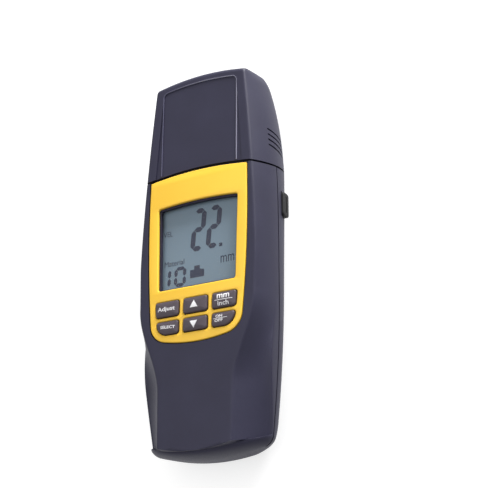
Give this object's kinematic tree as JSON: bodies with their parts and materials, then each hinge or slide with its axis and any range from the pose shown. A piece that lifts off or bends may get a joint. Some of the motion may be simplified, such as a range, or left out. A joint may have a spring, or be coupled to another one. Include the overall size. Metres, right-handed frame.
{
  "type": "ultrasonic thickness gauge",
  "caption": "Handheld ultrasonic thickness gauge with a pull-off probe cap, recessed display, soft keys, finger scoops and a sliding battery door.",
  "frame": {"origin": "middle of the flat back, under the centre of the housing's length", "axes": "+X across to the right seen from the front, +Y along towards the cap, +Z out of the front"},
  "size_m": [0.0605, 0.1686, 0.0313],
  "materials": {
    "charcoal_plastic": "fine moulded texture",
    "yellow_plastic": "satin moulded",
    "black_plastic": "moulded",
    "clear_window": "clear polished",
    "lcd_glass": "grey liquid crystal panel",
    "elastomer": "conductive silicone",
    "board_laminate": "solder mask",
    "key_rubber": "satin moulded rubber",
    "black_rubber": "matt",
    "cell_jacket": "plain jacket",
    "nickel_steel": "nickel plated",
    "turned_steel": "turned",
    "brass_socket": "plated"
  },
  "bodies": {
    "housing": {"front_shell": "charcoal_plastic", "rear_shell": "charcoal_plastic", "probe_holder": "black_plastic", "faceplate": "yellow_plastic", "display_window": "clear_window", "lcd_panel": "lcd_glass", "lcd_connectors": "elastomer", "main_board": "board_laminate", "keypad_mat": "elastomer", "contact_springs": "nickel_steel", "contact_plates": "nickel_steel", "case_screws": "nickel_steel", "board_screws": "nickel_steel", "probe_sockets": "brass_socket", "probe_sleeve": "turned_steel", "probe_face": "black_plastic", "data_jack": "black_plastic", "cell_1": "cell_jacket", "cell_2": "cell_jacket", "cell_3": "cell_jacket", "cell_4": "cell_jacket"},
    "cap": {"probe_cap": "charcoal_plastic"},
    "door": {"battery_door": "charcoal_plastic"},
    "cover": {"port_cover": "black_rubber"},
    "adjust_key": {"key_adjust": "key_rubber"},
    "up_key": {"key_up": "key_rubber"},
    "unit_key": {"key_unit": "key_rubber"},
    "select_key": {"key_select": "key_rubber"},
    "down_key": {"key_down": "key_rubber"},
    "power_key": {"key_power": "key_rubber"}
  },
  "joints": [
    {"name": "cap_pull", "type": "slide", "parent": "housing", "child": "cap", "axis": [0, 1, 0], "range_m": [0, 0.05]},
    {"name": "door_slide", "type": "slide", "parent": "housing", "child": "door", "axis": [0, -1, 0], "range_m": [0, 0.056]},
    {"name": "cover_pull", "type": "slide", "parent": "housing", "child": "cover", "axis": [1, 0, 0], "range_m": [0, 0.009]},
    {"name": "adjust_press", "type": "slide", "parent": "housing", "child": "adjust_key", "axis": [0, 0, -1], "range_m": [0, 0.0008], "stiffness_N_per_m": 1500},
    {"name": "up_press", "type": "slide", "parent": "housing", "child": "up_key", "axis": [0, 0, -1], "range_m": [0, 0.0008], "stiffness_N_per_m": 1500},
    {"name": "unit_press", "type": "slide", "parent": "housing", "child": "unit_key", "axis": [0, 0, -1], "range_m": [0, 0.0008], "stiffness_N_per_m": 1500},
    {"name": "select_press", "type": "slide", "parent": "housing", "child": "select_key", "axis": [0, 0, -1], "range_m": [0, 0.0008], "stiffness_N_per_m": 1500},
    {"name": "down_press", "type": "slide", "parent": "housing", "child": "down_key", "axis": [0, 0, -1], "range_m": [0, 0.0008], "stiffness_N_per_m": 1500},
    {"name": "power_press", "type": "slide", "parent": "housing", "child": "power_key", "axis": [0, 0, -1], "range_m": [0, 0.0008], "stiffness_N_per_m": 1500}
  ]
}
